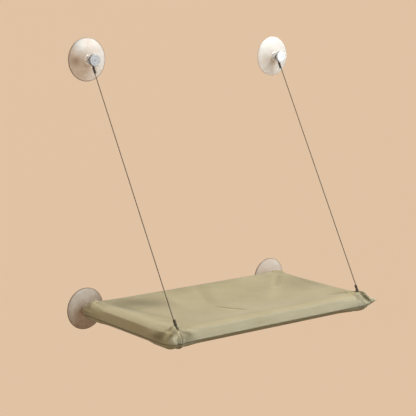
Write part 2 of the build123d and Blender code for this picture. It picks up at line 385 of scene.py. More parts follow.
# %% [markdown]
# Both panels are drawn in one mesh. Loose edges join each point of the top's
# rim to the point below it, and the cloth solver pulls them shut like thread.
# The points on the rails are held, as the taut case holds itself there, and so
# are the tips of the ears and the hems round the cups' necks.

# %% Draw the panels and the threads between them
HELD_INSET = 0.012
SOFT_HOLD = 0.25
NEARLY = 1e-6
UNDER_SHIFT = 0.4


def holding(nearer, farther, at_front):
    """How firmly a point is held, from how far it is past the nearer and the farther rail."""
    if farther > -NEARLY and nearer < -HELD_INSET:
        return 1.0
    if nearer > NEARLY and at_front:
        return 1.0
    if farther > -NEARLY and nearer < NEARLY:
        return 1.0 if at_front else SOFT_HOLD
    return 0.0


def sewn_panels():
    """The two panels in their worn places, with the cut places of their points, how
    firmly each is held, the pairs along the seam, and the points on the top's fold."""
    mesh = bmesh.new()
    uv = mesh.loops.layers.uv.new("cut")
    cut = []
    holds = []
    rims = []
    folded = []
    for top, wrap, shift in ((True, TOP_WRAP, 0.0), (False, UNDER_WRAP, UNDER_SHIFT)):
        across = panel_marks(HALF_LOWER, wrap)
        deep = panel_marks(HALF_DEEP, wrap)
        fold_line = RIDGE_MARK * wrap / WRAP_MARKS
        rows = []
        for q in deep:
            rows.append([mesh.verts.new(worn_place(p, q, wrap, top)) for p in across])
            for p in across:
                nearer, farther = sorted((abs(p) - HALF_LOWER, abs(q) - HALF_DEEP))
                if top and nearer < -HELD_INSET and abs(farther - fold_line) < NEARLY:
                    folded.append(len(holds))
                cut.append(cut_place(p, q, wrap, top))
                holds.append(holding(nearer, farther, q < 0))
        for j in range(len(deep) - 1):
            for i in range(len(across) - 1):
                steps = [(j, i), (j, i + 1), (j + 1, i + 1), (j + 1, i)]
                if not top:
                    steps.reverse()
                face = mesh.faces.new([rows[row][column] for row, column in steps])
                face.smooth = True
                for loop, (row, column) in zip(face.loops, steps):
                    loop[uv].uv = (across[column], deep[row] + shift)
        rim = rows[0][:-1] + [row[-1] for row in rows[:-1]]
        rim += rows[-1][:0:-1] + [row[0] for row in rows[:0:-1]]
        rims.append(rim)
    mesh.verts.index_update()
    pairs = []
    for upper, lower in zip(*rims):
        middle = (upper.co + lower.co) / 2
        if middle.y > -REAR_REACH and abs(abs(middle.x) - HALF_LOWER) < NECK_RING + 0.001:
            holds[upper.index] = holds[lower.index] = 1.0
            continue
        mesh.edges.new((upper, lower))
        pairs.append((upper.index, lower.index))
    return new_object("sewn_panels", mesh), cut, holds, pairs, folded


panels, cut, holds, pairs, folded = sewn_panels()
print("points", len(cut), "stitches", len(pairs))

# %% [markdown]
# The solver settles the cloth in a few frames. The rest shape is the cut one, so
# the surplus at the corners has to fold, and the deck sags by its own weight.
# A rounded loop stands for the pipes and elbows that the cloth rests on.

# %% Let the cloth settle on the frame
SETTLE_FRAMES = 24
FORM_RADIUS = RAIL - 0.0014
FORM_SIDES = 20
FORM_TURNS = 7
CLOTH_SETTINGS = {
    "quality": 8,
    "mass": 0.3,
    "air_damping": 3.0,
    "tension_stiffness": 300,
    "compression_stiffness": 100,
    "shear_stiffness": 40,
    "bending_stiffness": 0.3,
    "tension_damping": 15,
    "compression_damping": 15,
    "shear_damping": 5,
    "vertex_group_mass": "held",
    "pin_stiffness": 5.0,
    "use_sewing_springs": True,
}


def rail_form():
    """A closed loop of pipe with round corners, a little thinner than the case."""
    corners = ((-1, REAR_REACH, 180), (1, REAR_REACH, 90), (1, FRONT_REACH, 0), (-1, FRONT_REACH, -90))
    mesh = bmesh.new()
    rings = []
    for side_x, reach, start in corners:
        for step in range(FORM_TURNS):
            heading = math.radians(start - 90 / (FORM_TURNS - 1) * step)
            out = Vector((math.cos(heading), math.sin(heading), 0))
            ring = []
            for turn in range(FORM_SIDES):
                tilt = 2 * math.pi * turn / FORM_SIDES
                place = Vector((side_x * HALF_LOWER, -reach, math.sin(tilt) * FORM_RADIUS))
                ring.append(mesh.verts.new(place + out * math.cos(tilt) * FORM_RADIUS))
            rings.append(ring)
    for ring, after in zip(rings, rings[1:] + rings[:1]):
        for turn in range(FORM_SIDES):
            following = (turn + 1) % FORM_SIDES
            mesh.faces.new((ring[turn], ring[following], after[following], after[turn]))
    bmesh.ops.recalc_face_normals(mesh, faces=mesh.faces)
    form = new_object("rail_form", mesh)
    form.modifiers.new("rest", "COLLISION")
    form.collision.thickness_outer = 0.001
    form.collision.cloth_friction = 8.0
    return form


def settled(panels, cut, holds):
    """Mesh of the panels after the cloth solver has run."""
    group = panels.vertex_groups.new(name="held")
    for index, weight in enumerate(holds):
        if weight:
            group.add([index], weight, "REPLACE")
    panels.shape_key_add(name="worn")
    table = panels.shape_key_add(name="cut")
    for point, place in zip(table.data, cut):
        point.co = place
    form = rail_form()
    cloth = panels.modifiers.new("cloth", "CLOTH")
    for key, value in CLOTH_SETTINGS.items():
        setattr(cloth.settings, key, value)
    cloth.settings.rest_shape_key = table
    cloth.collision_settings.collision_quality = 3
    cloth.collision_settings.distance_min = 0.0006
    cloth.point_cache.frame_end = SETTLE_FRAMES
    for frame_number in range(1, SETTLE_FRAMES + 1):
        bpy.context.scene.frame_set(frame_number)
    graph = bpy.context.evaluated_depsgraph_get()
    mesh = bpy.data.meshes.new_from_object(panels.evaluated_get(graph))
    bpy.context.scene.frame_set(1)
    bpy.data.objects.remove(form)
    return mesh


sewn = settled(panels, cut, holds)
bpy.data.objects.remove(panels)
above = [vertex.co for vertex in sewn.vertices if vertex.co.z > -DECK_SAG]
middle = min(above, key=lambda place: math.hypot(place.x, place.y - MIDDLE_Y))
print("the deck's middle is at", round(middle.z, 4))

# %% [markdown]
# The stitches are now closed for good, and the fold lines are marked so that
# they stay crisp. A small hole is opened for the rope near each front corner, in
# the top and in the underside.

# %% Close the seam and open the eyelets
EYELET_INSET = 0.0206
EYELET_RADIUS = 0.0023
SEAM_CRISPNESS = 0.8
FOLD_CRISPNESS = 0.5


def open_eyelet(mesh, side, up):
    """Makes a small round hole in the panel that lies nearest to this height."""
    centre = Vector((side * (HALF_LOWER - EYELET_INSET), -FRONT_REACH + EYELET_INSET, up))
    hub = min(mesh.verts, key=lambda vertex: (vertex.co - centre).length)
    centre.z = hub.co.z
    uv = mesh.loops.layers.uv.active
    spots = {loop.vert: loop[uv].uv.copy() for face in hub.link_faces for loop in face.loops}
    hub_spot = spots[hub]
    around = {}
    for face in hub.link_faces:
        loop = next(loop for loop in face.loops if loop.vert == hub)
        after = loop.link_loop_next
        around[after.vert] = (after.link_loop_next.vert, loop.link_loop_prev.vert)
    ring = []
    vertex = next(iter(around))
    for _ in range(len(around)):
        diagonal, after = around[vertex]
        ring.extend((vertex, diagonal))
        vertex = after
    bmesh.ops.delete(mesh, geom=[hub], context="VERTS")
    hems = []
    for vertex in ring:
        way = vertex.co - centre
        way.z = 0
        hem = mesh.verts.new(centre + way.normalized() * EYELET_RADIUS)
        hems.append(hem)
        spots[hem] = hub_spot + (spots[vertex] - hub_spot) * (EYELET_RADIUS / way.length)
    for index, vertex in enumerate(ring):
        after = (index + 1) % len(ring)
        face = mesh.faces.new((vertex, ring[after], hems[after], hems[index]))
        face.smooth = True
        for loop in face.loops:
            loop[uv].uv = spots[loop.vert]


mesh = bmesh.new()
mesh.from_mesh(sewn)
mesh.verts.ensure_lookup_table()
crease = mesh.edges.layers.float.new("crease_edge")
fold = {mesh.verts[index] for index in folded}
seam = {mesh.verts[upper] for upper, lower in pairs}
joined = {mesh.verts[lower]: mesh.verts[upper] for upper, lower in pairs}
bmesh.ops.weld_verts(mesh, targetmap=joined)
for edge in mesh.edges:
    if seam.issuperset(edge.verts) and len(edge.link_faces) == 2:
        edge[crease] = SEAM_CRISPNESS
    elif fold.issuperset(edge.verts):
        edge[crease] = FOLD_CRISPNESS
for side in (-1, 1):
    for up in (RAIL, -RAIL):
        open_eyelet(mesh, side, up)
loose = [edge for edge in mesh.edges if not edge.link_faces]
bmesh.ops.delete(mesh, geom=loose, context="EDGES")
cover = new_object("canvas_case", mesh)
bpy.data.meshes.remove(sewn)
bpy.ops.object.select_all(action="DESELECT")
bpy.context.view_layer.objects.active = cover
cover.select_set(True)
cover.modifiers.new("finer", "SUBSURF").levels = 1
bpy.ops.object.modifier_apply(modifier="finer")
print("case of", len(cover.data.polygons), "faces")

# %% [markdown]
# Some things are finer than the cloth's mesh: the creases left in the deck by how
# the case was folded, the pleats round the necks, and the folds that the rope
# ties into the corners. The mesh is made finer where they are. Each crease is a
# chain of points with a width, a height, which is below zero for a valley, all in
# millimetres, and a tone of painted shade or painted light for the light it loses
# or gains. Rows of height 0 are no creases and only paint shade or light.

# %% Press in the creases of the deck
MM = 0.001
CREASES = (
    (((-40, -156), (-26, -196), (-12.5, -228)), 4.2, -3.0, -0.95),
    (((-53, -160), (-40, -204), (-27, -236)), 6.4, 2.4, 0.50),
    (((30, -10), (-1, -68), (-26, -123), (-39, -165)), 14, -1.4, -0.18),
    (((10, -20), (-22, -78), (-48, -130)), 12, 1.2, 0.15),
    (((250, -20), (197, -76), (151, -124), (80, -180)), 14, 2.8, 0.28),
    (((247, -36), (201, -80), (153, -127)), 9, -3.0, -0.42),
    (((246, -70), (238, -133), (234, -211)), 13, -1.0, -0.36),
    (((247, -264), (222, -257), (185, -251)), 5.5, -1.2, -0.50),
    (((-235, -41), (-221, -78), (-205, -113), (-177, -157), (-140, -200)), 16, -2.6, 0),
    (((-240, -30), (-195, -64), (-150, -84), (-90, -95)), 40, 0, -0.74),
    (((-246, -56), (-243, -103), (-238, -151), (-232, -209), (-226, -262)), 17, 0, 0.42),
    (((-222, -50), (-212, -103), (-198, -158), (-186, -205)), 11, 0, -0.30),
    (((-160, -240), (-60, -245), (80, -246)), 20, 0, 0.22),
    (((216, -80), (205, -135), (196, -200)), 26, 0, -0.30),
    (((-150, -30), (0, -36), (140, -32)), 26, 0, -0.22),
)
TOP_ABOVE = -0.005
TONED_ABOVE = 0.010 - DECK_SAG
CORNER_SHIFT = 0.006


def read_places(data):
    """The mesh's points as rows of an array."""
    places = np.empty(len(data.vertices) * 3)
    data.vertices.foreach_get("co", places)
    return places.reshape(-1, 3)


def along_line(points, places):
    """For each place, its distance from a chain of points and the share of the way along it."""
    points = np.array(points)
    lengths = np.linalg.norm(np.diff(points, axis=0), axis=1)
    gaps = np.full(len(places), 1.0)
    shares = np.zeros(len(places))
    passed = 0.0
    for start, end, length in zip(points, points[1:], lengths):
        share = np.clip((places - start) @ (end - start) / max(length, NEARLY) ** 2, 0, 1)
        gap = np.linalg.norm(places - start - share[:, None] * (end - start), axis=1)
        closer = gap < gaps
        gaps[closer] = gap[closer]
        shares[closer] = (passed + share[closer] * length) / lengths.sum()
        passed += length
    return gaps, shares


def from_sharp_crease(places):
    """Distance from the first crease, the sharp one, for places on top of the case."""
    gap = along_line(np.array(CREASES[0][0]) * MM, places[:, :2])[0]
    return np.where(places[:, 2] > TOP_ABOVE, gap, 1.0)


def from_front_corner(places):
    return np.hypot(np.abs(places[:, 0]) - HALF_LOWER + CORNER_SHIFT, places[:, 1] + FRONT_REACH)


def from_neck(places):
    return np.linalg.norm(np.abs(places) - (HALF_LOWER, NECK_DEPTH, 0), axis=1)


def from_rope(places):
    return np.minimum(*(along_line(line, places)[0] for line in rope_lines.values()))


def make_finer(data, distance, reach):
    """Halves the edges whose two ends both lie within reach of something."""
    within = distance(read_places(data)) < reach
    mesh = bmesh.new()
    mesh.from_mesh(data)
    inside = {vertex for vertex in mesh.verts if within[vertex.index]}
    edges = [edge for edge in mesh.edges if inside.issuperset(edge.verts)]
    bmesh.ops.subdivide_edges(mesh, edges=edges, cuts=1, use_grid_fill=True)
    for face in mesh.faces:
        face.smooth = True
    mesh.to_mesh(data)
    mesh.free()


for distance, reach in (
    (from_sharp_crease, 0.011), (from_sharp_crease, 0.0065), (from_front_corner, 0.034),
    (from_neck, 0.045), (from_rope, 0.005), (from_rope, 0.0036),
):
    make_finer(cover.data, distance, reach)
places = read_places(cover.data)
tone = np.zeros(len(places))
inside_rails = (np.abs(places[:, 0]) < HALF_LOWER) & (np.abs(places[:, 1] - MIDDLE_Y) < HALF_DEEP)
deck = (places[:, 2] > TOP_ABOVE) & inside_rails
# Each crease's tone is painted shade or painted light, kept for the canvas's colour.
for points, width, height, shade in CREASES:
    gap, share = along_line(np.array(points) * MM, places[:, :2])
    amount = hump(gap, width * MM) * np.sin(math.pi * share) ** 0.6
    places[:, 2] += np.where(deck, height * MM * amount, 0)
    tone += np.where(places[:, 2] > TONED_ABOVE, shade * amount, 0)
print("creased case of", len(cover.data.polygons), "faces")

# %% [markdown]
# At the back, the hem is drawn tight round each cup's neck, so the cloth stands
# in pleats there. They start at the neck and run out along the case, and each one
# has a place round the neck in degrees, a height and a reach of its own.

# %% Gather the pleats round the necks
PLEATS = (
    (12, 1.0, 0.050), (38, 0.6, 0.036), (66, 1.0, 0.060), (95, 0.7, 0.040),
    (121, 1.0, 0.052), (149, 0.8, 0.066), (172, 1.0, 0.056), (199, 0.9, 0.070),
    (226, 0.7, 0.050), (252, 1.0, 0.060), (283, 0.6, 0.040), (318, 0.8, 0.046),
    (342, 0.6, 0.034),
)
PLEAT_HEIGHT = 0.0017
PLEAT_WIDTH = 7.0
PLEAT_SHIFT = 6
PLEAT_SWAY = 8
PLEATS_WITHIN = 0.075
PLEATS_BEFORE = -0.004
NECK_SHADE = (0.014, 0.046)

side = np.sign(places[:, 0])
out = np.stack([np.abs(places[:, 0]) - HALF_LOWER, places[:, 2]], axis=1)
from_axis = np.maximum(np.linalg.norm(out, axis=1), NEARLY)
away = np.hypot(from_axis, places[:, 1] + NECK_DEPTH)
angle = np.degrees(np.arctan2(out[:, 1], out[:, 0])) % 360
stand = np.zeros(len(places))
for place_round, height, reach in PLEATS:
    off = (angle - place_round + side * PLEAT_SHIFT + 180) % 360 - 180
    slant = off + PLEAT_SWAY * np.sin(place_round + 30 * away)
    fade = (1 - smooth_step(away, 0.4 * reach, reach)) * smooth_step(away, 0.004, 0.013)
    stand = np.maximum(stand, height * fade * hump(slant, PLEAT_WIDTH))
stand[(away > PLEATS_WITHIN) | (places[:, 1] > PLEATS_BEFORE)] = 0
places[:, 0] += side * out[:, 0] / from_axis * stand * PLEAT_HEIGHT
places[:, 2] += out[:, 1] / from_axis * stand * PLEAT_HEIGHT
# Painted light on the pleats' crests and painted shade on the cloth next to each neck.
tone += 0.6 * stand - 0.5 * (1 - smooth_step(away, *NECK_SHADE))
print("pleats", len(PLEATS), "round each neck")

# %% [markdown]
# The rope's way round each corner is read from its skin's middle line. For every
# point of cloth, the nearest half-plane through the rail and the rope tells how
# far to the side of the rope it is. Right under the rope the cloth is pressed to
# a bed, and beside it two lips stand up. On the way down the bed rises and gets
# narrow, until only a slit is left between the lips.

# %% Tie the rope's folds into the corners
LIP = 0.0028
LIP_REACH = 0.0021
BED_REACH = 0.0009
BED_CLEARANCE = 0.0002
BED_RISE = 0.0027
PULL_REACH = 0.0090
PEAK_REACH = 0.0160
OPEN_ABOVE = 0.0185
BED_TONE = 1.3
SLIT_TONE = {-1: 0.45, 1: 1.0}
TIED_WITHIN = 0.048
SAMPLE_STEP = 0.0004
SAMPLED_BELOW = 0.0235
SAMPLED_INSET = 0.014
PEAK_RISE = (0.012, 0.020)
LOW_END = (0.011, 0.015)


def rail_axis(places):
    """For each place, the nearest spot on the middle line of a rail."""
    axis = places.copy()
    axis[:, 2] = 0
    axis[:, 0] = np.clip(axis[:, 0], -HALF_LOWER, HALF_LOWER)
    axis[:, 1] = np.clip(axis[:, 1], -FRONT_REACH, -REAR_REACH)
    to_side = HALF_LOWER - np.abs(axis[:, 0])
    to_end = HALF_DEEP - np.abs(axis[:, 1] - MIDDLE_Y)
    on_side = to_side < to_end
    axis[on_side, 0] = np.sign(axis[on_side, 0]) * HALF_LOWER
    axis[~on_side, 1] = MIDDLE_Y + np.sign(axis[~on_side, 1] - MIDDLE_Y) * HALF_DEEP
    return axis


def rope_samples(side, line):
    """Close samples of the rope's way round the corner: the rail's axis, the way out and how far."""
    corner = Vector((side * HALF_LOWER, -FRONT_REACH, 0))
    samples = []
    for start, end in zip(line, line[1:]):
        pieces = max(1, math.ceil((end - start).length / SAMPLE_STEP))
        for piece in range(pieces):
            spot = start.lerp(end, piece / pieces)
            inward = side * (corner.x - spot.x)
            room = corner.y - spot.y
            if spot.z > SAMPLED_BELOW or room < -SAMPLED_INSET:
                continue
            if inward > 0 and (room > 0 or inward > -room):
                core = Vector((spot.x, corner.y, 0))
            elif room < 0:
                core = Vector((corner.x, spot.y, 0))
            else:
                core = corner
            reach = (spot - core).length
            samples.append((*core, *((spot - core) / reach), reach))
    return np.array(samples)


def nearest_samples(cloth, samples):
    """For each point of cloth, its distance from the nearest sample's way out, and that sample."""
    gap = np.full(len(cloth), 1.0)
    found = np.zeros(len(cloth), dtype=int)
    for index, sample in enumerate(samples):
        offset = cloth - sample[:3]
        along = np.clip(offset @ sample[3:6], 0, sample[6] + 0.004)
        aside = np.linalg.norm(offset - along[:, None] * sample[3:6], axis=1)
        closer = aside < gap
        gap[closer] = aside[closer]
        found[closer] = index
    return gap, samples[found]


def near_corner(side, reach):
    """Numbers of the points within reach of a front corner."""
    away = places - (side * HALF_LOWER, -FRONT_REACH, 0)
    return np.where(np.linalg.norm(away, axis=1) < reach)[0]


for name, side in (("left", -1), ("right", 1)):
    near = near_corner(side, TIED_WITHIN)
    cloth = places[near]
    gap, sample = nearest_samples(cloth, rope_samples(side, rope_lines[name]))
    core, rise, rope_reach = sample[:, :3], sample[:, 5], sample[:, 6]
    offset = cloth - core
    reach = np.linalg.norm(offset, axis=1)
    wide = PULL_REACH + (PEAK_REACH - PULL_REACH) * smooth_step(rise * rope_reach, *PEAK_RISE)
    pull = 1 - smooth_step(gap, LIP_REACH, wide)
    lip = LIP * (0.15 + 0.85 * smooth_step(rise, -0.75, 0.0))
    lifted = reach + np.maximum(rope_reach + lip - reach, 0) * pull
    height = sample[:, 2] + rise * rope_reach
    met = smooth_step(-height, -OPEN_ABOVE, -OPEN_ABOVE + 0.003)
    met *= 1 - smooth_step(-height, *LOW_END)
    bed = rope_reach - ROPE_DIAMETER / 2 - BED_CLEARANCE + met * BED_RISE
    beside = smooth_step(gap, BED_REACH * (1 - 0.7 * met), LIP_REACH * (1 - 0.4 * met))
    lifted = np.where(gap < LIP_REACH, bed + (lifted - bed) * beside, lifted)
    moved = core + offset * (lifted / np.maximum(reach, NEARLY))[:, None]
    places[near] = np.where((gap < wide)[:, None], moved, cloth)
    # Painted shade in the rope's bed and in the slit between the lips.
    slit = 1 - smooth_step(gap, BED_REACH * (1 - 0.8 * met), (1.4 - 0.7 * met) * LIP_REACH)
    tone[near] -= (BED_TONE - (BED_TONE - SLIT_TONE[side]) * met) * slit
    most = float(np.abs(lifted - reach)[gap < wide].max())
    print(name, "cloth pulled", round(most, 4), "m at most")

# %% [markdown]
# The weight on the rope pulls the cloth of each front corner into a peak under
# the crimp. Ridges and valleys run down from the peak, towards the side, towards
# the ear and along the front band. They are chains of points measured out, to the
# room and up from the corner, in millimetres, with a width, a height and a tone
# like those of the creases: painted shade or painted light. Rows of height 0 only
# paint shade.

# %% Fold the front corners
CORNER_FOLDS = {
    -1: (
        (((-10, 4, 22), (2.2, 6.3, 19.5), (9.1, 1.0, 14.7), (11.6, -26, 12.9)), 3.0, 2.2, 0.35),
        (((-4, 10, 18), (5, 11, 12), (13, 8, 2)), 4.6, -2.6, -0.90),
        (((4, 6, 12), (12, -10, 6), (16.5, -34, 2)), 9.0, 0, -0.80),
        (((-10.8, 9.8, 17.5), (-3.6, 14.6, 10.4), (4, 21, 4.4)), 2.6, 2.6, 0.85),
        (((-12.9, 10.4, 18.5), (-27, 12, 12.6), (-41, 16, 5.7)), 4.0, -1.8, -0.75),
        (((-14, 7, 21.5), (-31, 9, 16.5), (-52, 13, 9.5)), 3.4, 1.4, 0.30),
        (((-15, 15, 11), (-23, 17, 4), (-42, 17.2, 1)), 8.5, 0, -0.50),
        (((-13.5, 15, 12), (-15, 17.2, 1)), 2.6, -0.8, -0.60),
    ),
    1: (
        (((-9.2, 10.5, 23.7), (1, 16.4, 13.6), (10, 17, 7), (18, 16, 1)), 2.9, -4.4, -3.00),
        (((-12, 12.7, 19), (-6, 16.8, 9), (5, 17.9, -3)), 2.8, 1.6, 0.50),
        (((-17.7, 11.9, 18.6), (-19.9, 16, 7)), 1.8, -1.4, -0.60),
        (((12, 12, 12), (22, 14, 7), (32, 15, 4)), 3.4, 1.4, 0.75),
        (((-18, 15, -8), (-6, 16, -10), (6, 15, -8)), 2.4, -1.4, -0.70),
    ),
}
FOLDS_WITHIN = 0.075
CLEAR_OF_PIPE = 0.0174
FITTING_REACH = 0.038
CLEARED_BEFORE = -0.018


def off_axis(places):
    """The nearest spots on the rails' middle lines, the ways out from there and the distances."""
    axis = rail_axis(places)
    way = places - axis
    reach = np.linalg.norm(way, axis=1)
    return axis, way / np.maximum(reach, NEARLY)[:, None], reach


def on_pipe(places):
    """The places moved along their way from the rail's middle line to the pipe's surface."""
    axis, way = off_axis(places)[:2]
    return axis + way * RAIL


for side, folds in CORNER_FOLDS.items():
    near = near_corner(side, FOLDS_WITHIN)
    way = off_axis(places[near])[1]
    cloth = on_pipe(places[near])
    for points, width, height, shade in folds:
        chain = np.array(points) * (side * MM, -MM, MM) + (side * HALF_LOWER, -FRONT_REACH, 0)
        gap, share = along_line(on_pipe(chain), cloth)
        amount = hump(gap, width * MM) * (0.25 + 0.75 * np.sin(math.pi * share))
        places[near] += way * (height * MM * amount)[:, None]
        # Painted shade or painted light of the fold, kept for the canvas's colour.
        tone[near] += shade * amount
print("folds at the corners", sum(len(folds) for folds in CORNER_FOLDS.values()))
axis, way, reach = off_axis(places)
beside_corner = np.abs(axis[:, 0]) > HALF_LOWER - FITTING_REACH
at_end = np.abs(axis[:, 1] - MIDDLE_Y) > HALF_DEEP - FITTING_REACH
tight = beside_corner & at_end & (reach < CLEAR_OF_PIPE) & (places[:, 1] < CLEARED_BEFORE)
places[tight] = axis[tight] + way[tight] * CLEAR_OF_PIPE
cover.data.vertices.foreach_set("co", places.ravel())
print("points kept clear of the fittings", int(tight.sum()))

# %% [markdown]
# Four values are kept on the cloth's points for its material: the painted shade
# and light of the folds, the distance from the seam along the cloth, which places
# the row of stitches, and where the front edge takes painted cool light and the
# underside painted warm shade. The case then gets its thickness.

# %% Keep the painted tones and the distance from the seam
CANVAS_THICKNESS = 0.0006

spots = np.empty(len(cover.data.loops) * 2)
cover.data.uv_layers["cut"].data.foreach_get("uv", spots)
spots = spots.reshape(-1, 2)
owner = np.empty(len(cover.data.loops), dtype=int)
cover.data.loops.foreach_get("vertex_index", owner)
is_top = spots[:, 1] < UNDER_SHIFT / 2
deep = np.where(is_top, spots[:, 1], spots[:, 1] - UNDER_SHIFT)
over = np.maximum(np.abs(spots[:, 0]) - HALF_LOWER, np.abs(deep) - HALF_DEEP)
# The front value places painted cool light on the front edge, and the under value places painted warm
# shade on the underside.
kept_values = {
    "to_seam": np.where(is_top, TOP_WRAP, UNDER_WRAP) - over,
    "front": np.where(is_top, smooth_step(-deep - HALF_DEEP, 0.003, 0.011), 0),
    "under": ~is_top,
}
for label, of_loops in kept_values.items():
    values = np.zeros(len(places))
    values[owner] = of_loops
    kept_values[label] = values
# The fold value is the painted shade and painted light gathered above.
kept_values["fold"] = np.clip(tone, -1, 1)
for label, values in kept_values.items():
    cover.data.attributes.new(label, "FLOAT", "POINT").data.foreach_set("value", values)
thickness = cover.modifiers.new("thickness", "SOLIDIFY")
thickness.thickness = CANVAS_THICKNESS
thickness.offset = -1.0
bpy.ops.object.modifier_apply(modifier="thickness")
cover.select_set(False)
print("case with its thickness", len(cover.data.polygons), "faces")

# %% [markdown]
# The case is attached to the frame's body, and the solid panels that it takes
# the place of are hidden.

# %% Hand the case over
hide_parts("cover_top_panel", "cover_bottom_panel")
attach(cover, "frame")

# %% [markdown]
# Materials are built from many small nodes. These helpers add a node, feed its
# inputs with numbers or with the outputs of other nodes, and hand back its output,
# so that a material reads like a formula. All colours are fully opaque, so they
# are written as red, green and blue.

# %% Helpers for materials
WHITE = (1, 1, 1)
BLACK = (0, 0, 0)


def new_material(name):
    """A material and its node tree."""
    material = bpy.data.materials.new(name)
    material.use_nodes = True
    return material, material.node_tree


def feed(tree, socket, value):
    """Links an output to an input, or sets the input where the value is plain."""
    if isinstance(value, bpy.types.NodeSocket):
        tree.links.new(value, socket)
    elif socket.type == "RGBA":
        socket.default_value = (*value, 1)
    else:
        socket.default_value = value


def add_node(tree, kind, inputs=(), out=0, **settings):
    """Adds a node with its settings and inputs, and returns one of its outputs."""
    node = tree.nodes.new("ShaderNode" + kind)
    for key, value in settings.items():
        setattr(node, key, value)
    for key, value in dict(inputs).items():
        feed(tree, node.inputs[key], value)
    return node.outputs[out]


def set_shader(tree, inputs):
    """Feeds the inputs of the material's Principled shader."""
    for key, value in inputs.items():
        feed(tree, tree.nodes["Principled BSDF"].inputs[key], value)


def maths(tree, operation, *values):
    return add_node(tree, "Math", enumerate(values), operation=operation)


def vector_maths(tree, operation, *values, out="Vector"):
    return add_node(tree, "VectorMath", enumerate(values), out, operation=operation)


def spread(tree, value, low, high, start=0.0, end=1.0, curve="LINEAR"):
    """Takes a value that runs from start to end to one that runs from low to high."""
    limits = {"From Min": start, "From Max": end, "To Min": low, "To Max": high}
    return add_node(tree, "MapRange", {"Value": value, **limits}, interpolation_type=curve)


def mix_colours(tree, first, second, factor, how="MIX"):
    inputs = {"A": first, "B": second, "Factor": factor}
    return add_node(tree, "Mix", inputs, "Result", data_type="RGBA", blend_type=how)


def noise(tree, place, scale, detail, roughness=0.5, distortion=0.0):
    inputs = {"Vector": place, "Scale": scale, "Detail": detail}
    inputs.update({"Roughness": roughness, "Distortion": distortion})
    return add_node(tree, "TexNoise", inputs)


def waves(tree, place, direction, scale, distortion=0.0):
    inputs = {"Vector": place, "Scale": scale, "Distortion": distortion}
    return add_node(tree, "TexWave", inputs, "Fac", bands_direction=direction)


def bumps(tree, height, strength, distance):
    inputs = {"Height": height, "Strength": strength, "Distance": distance}
    return add_node(tree, "Bump", inputs)


def colour_steps(tree, value, *steps):
    """Colour ramp with these (place, colour) stops, read at a value."""
    colour = add_node(tree, "ValToRGB", {"Fac": value})
    elements = colour.node.color_ramp.elements
    while len(elements) > 1:
        elements.remove(elements[-1])
    elements[0].position = steps[0][0]
    for step in steps[1:]:
        elements.new(step[0])
    for element, step in zip(elements, steps):
        element.color = (*step[1], 1)
    return colour


# %% [markdown]
# The photograph has one flat warm colour behind the perch. The floor and the
# backdrop show that colour to the camera and in reflections, and are ordinary
# matt surfaces for the light, so they still take the perch's soft shadow.

# %% Floor and backdrop
BACKDROP = (0.785, 0.570, 0.388)
MATT_PAPER = (0.34, 0.28, 0.22)
GLOW_SHARE = 0.94
FLOOR_LEVEL = -1.1
BACKDROP_REACH = 2.6
PAPER_SIZE = 16


def stage_material():
    """Matt surface that the camera sees as one even colour."""
    material, tree = new_material("studio_paper")
    tree.nodes.clear()
    matt = add_node(tree, "BsdfDiffuse", {"Color": MATT_PAPER})
    glow = add_node(tree, "Emission", {"Color": BACKDROP})
    seen = add_node(tree, "MixShader", {0: GLOW_SHARE, 1: matt, 2: glow})
    ray = tree.nodes.new("ShaderNodeLightPath").outputs
    looked_at = maths(tree, "MAXIMUM", ray["Is Camera Ray"], ray["Is Glossy Ray"])
    looked_at = maths(tree, "MAXIMUM", looked_at, ray["Is Transmission Ray"])
    surface = add_node(tree, "MixShader", {0: looked_at, 1: matt, 2: seen})
    tree.links.new(surface, tree.nodes.new("ShaderNodeOutputMaterial").inputs["Surface"])
    return material


def sheet_of_paper(name, place, tilt):
    """Large square of the studio's paper, tilted about the x axis by this many degrees."""
    bpy.ops.object.select_all(action="DESELECT")
    turn = (math.radians(tilt), 0, 0)
    bpy.ops.mesh.primitive_plane_add(size=PAPER_SIZE, location=place, rotation=turn)
    sheet = bpy.context.object
    sheet.name = name
    sheet.data.materials.append(paper)
    return sheet


paper = stage_material()
floor = sheet_of_paper("studio_floor", (0, BACKDROP_REACH - PAPER_SIZE / 2, FLOOR_LEVEL), 0)
backdrop = sheet_of_paper("studio_backdrop", (0, BACKDROP_REACH, FLOOR_LEVEL + PAPER_SIZE / 2), 90)
print("stage of", floor.name, "and", backdrop.name)

# %% [markdown]
# The deck is bright, the front edge a little cooler and the left side in shade,
# so the main light stands high on the right in front of the perch. A weaker one
# on the left keeps the shaded side open, a cool one lights the front, and the
# world fills the rest evenly.

# %% Lights
LIGHTS_AIM = Vector((0, -0.15, 0.1))
WORLD_COLOUR = (1.0, 0.93, 0.86)
WORLD_STRENGTH = 0.33


def soft_box(name, place, size, watts, colour):
    """Square area light at a place, turned towards the perch."""
    data = bpy.data.lights.new(name, "AREA")
    data.shape = "SQUARE"
    data.size = size
    data.energy = watts
    data.color = colour
    lamp = bpy.data.objects.new(name, data)
    bpy.context.collection.objects.link(lamp)
    lamp.location = place
    lamp.rotation_euler = (LIGHTS_AIM - Vector(place)).to_track_quat("-Z", "Y").to_euler()


soft_box("main_light", (1.3, -1.7, 2.5), 2.5, 96, (1.0, 0.968, 0.92))
soft_box("side_fill", (-2.4, -0.9, 1.1), 1.6, 17, (1.0, 0.92, 0.78))
soft_box("front_fill", (0.5, -2.8, 1.9), 1.2, 31, (0.53, 0.86, 1.0))

world = bpy.data.worlds.new("studio_world")
bpy.context.scene.world = world
world.use_nodes = True
sky = world.node_tree.nodes["Background"]
feed(world.node_tree, sky.inputs["Color"], WORLD_COLOUR)
feed(world.node_tree, sky.inputs["Strength"], WORLD_STRENGTH)
bpy.context.scene.view_settings.view_transform = "Standard"
print("lights", [item.name for item in bpy.data.lights])
